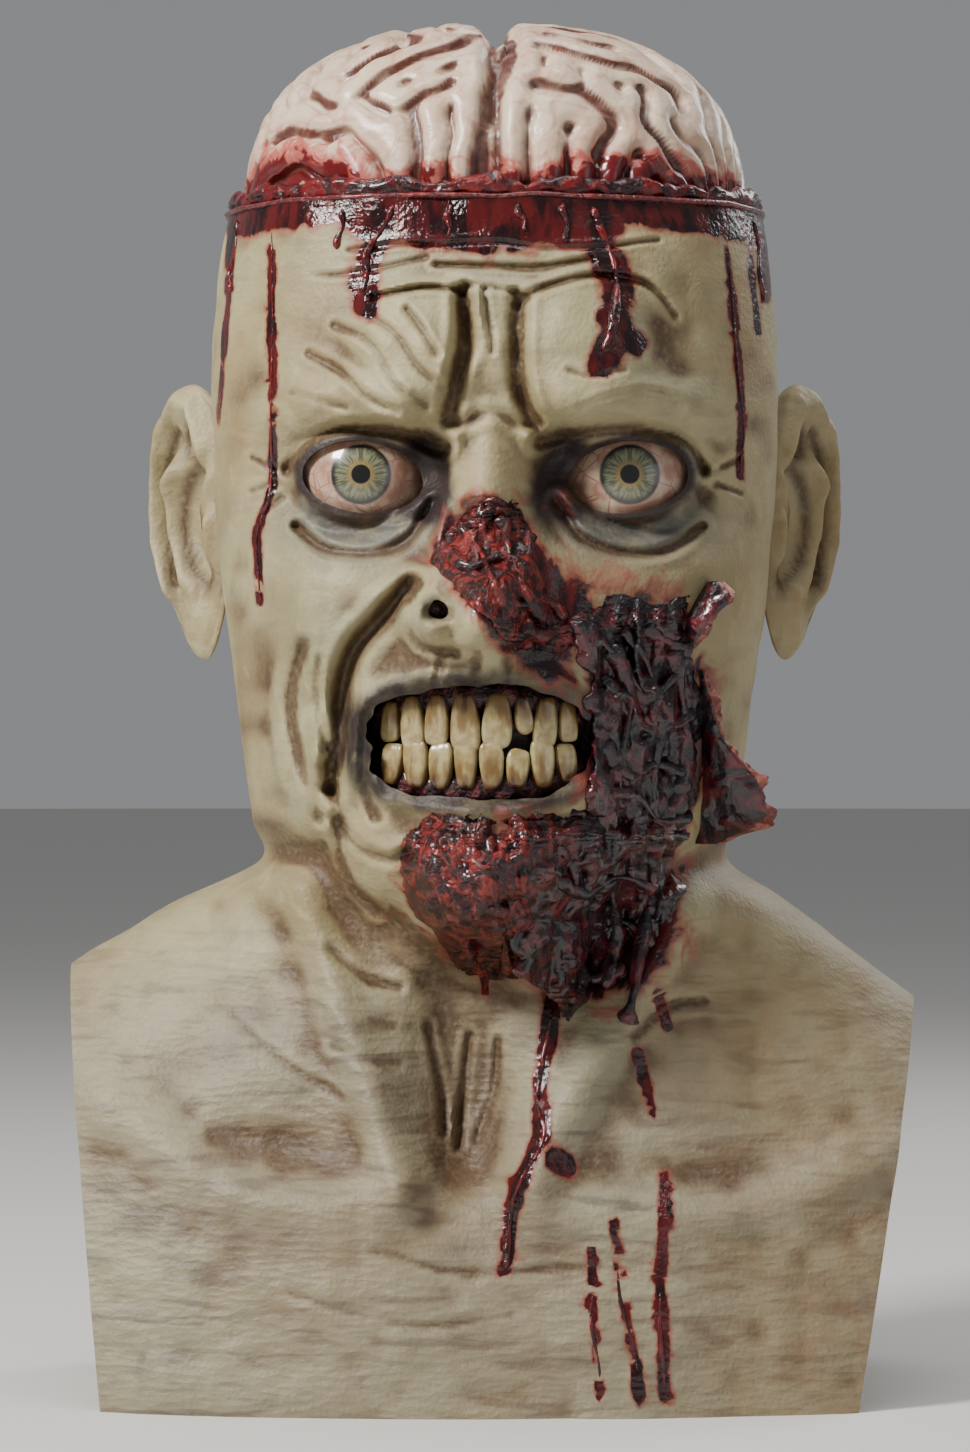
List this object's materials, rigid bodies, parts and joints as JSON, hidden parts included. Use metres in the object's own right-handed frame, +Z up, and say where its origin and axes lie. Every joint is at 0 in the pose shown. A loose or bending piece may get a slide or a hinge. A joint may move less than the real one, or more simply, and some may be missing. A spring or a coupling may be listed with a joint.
{
  "type": "zombie mask",
  "caption": "Full-head latex zombie mask with an open skull and bare brain, bared teeth, torn cheek, neck and chest bib.",
  "frame": {"origin": "on the surface that the mask stands on, under the middle of its bounding box", "axes": "+Z up to the crown, face towards -Y, wearer's left ear towards +X"},
  "size_m": [0.2969, 0.2576, 0.4794],
  "materials": {
    "latex": "satin painted latex skin, greenish cream with brown and grey washes",
    "brain_latex": "painted latex, pale pink with dark folds",
    "blood_gel": "wet-looking dark red gel",
    "eye_acrylic": "polished acrylic with a painted iris",
    "tooth_resin": "glossy stained resin",
    "gum_resin": "glossy dark gum",
    "raw_flesh": "wet dark red latex",
    "dark_flesh": "wet near-black purple latex"
  },
  "bodies": {
    "root": {"skin": "latex", "brain": "brain_latex", "blood_ring": "blood_gel", "eye_left": "eye_acrylic", "eye_right": "eye_acrylic", "upper_gum": "gum_resin", "lower_gum": "gum_resin", "upper_tooth_1": "tooth_resin", "upper_tooth_2": "tooth_resin", "upper_tooth_3": "tooth_resin", "upper_tooth_4": "tooth_resin", "upper_tooth_5": "tooth_resin", "upper_tooth_6": "tooth_resin", "upper_tooth_7": "tooth_resin", "upper_tooth_8": "tooth_resin", "lower_tooth_1": "tooth_resin", "lower_tooth_2": "tooth_resin", "lower_tooth_3": "tooth_resin", "lower_tooth_4": "tooth_resin", "lower_tooth_5": "tooth_resin", "lower_tooth_6": "tooth_resin", "lower_tooth_7": "tooth_resin", "lower_tooth_8": "tooth_resin", "nose_flesh": "raw_flesh", "chin_flesh": "raw_flesh", "cheek_flesh": "dark_flesh", "jaw_flesh": "dark_flesh", "cheek_flap": "dark_flesh", "tear_tip": "dark_flesh"}
  },
  "joints": []
}
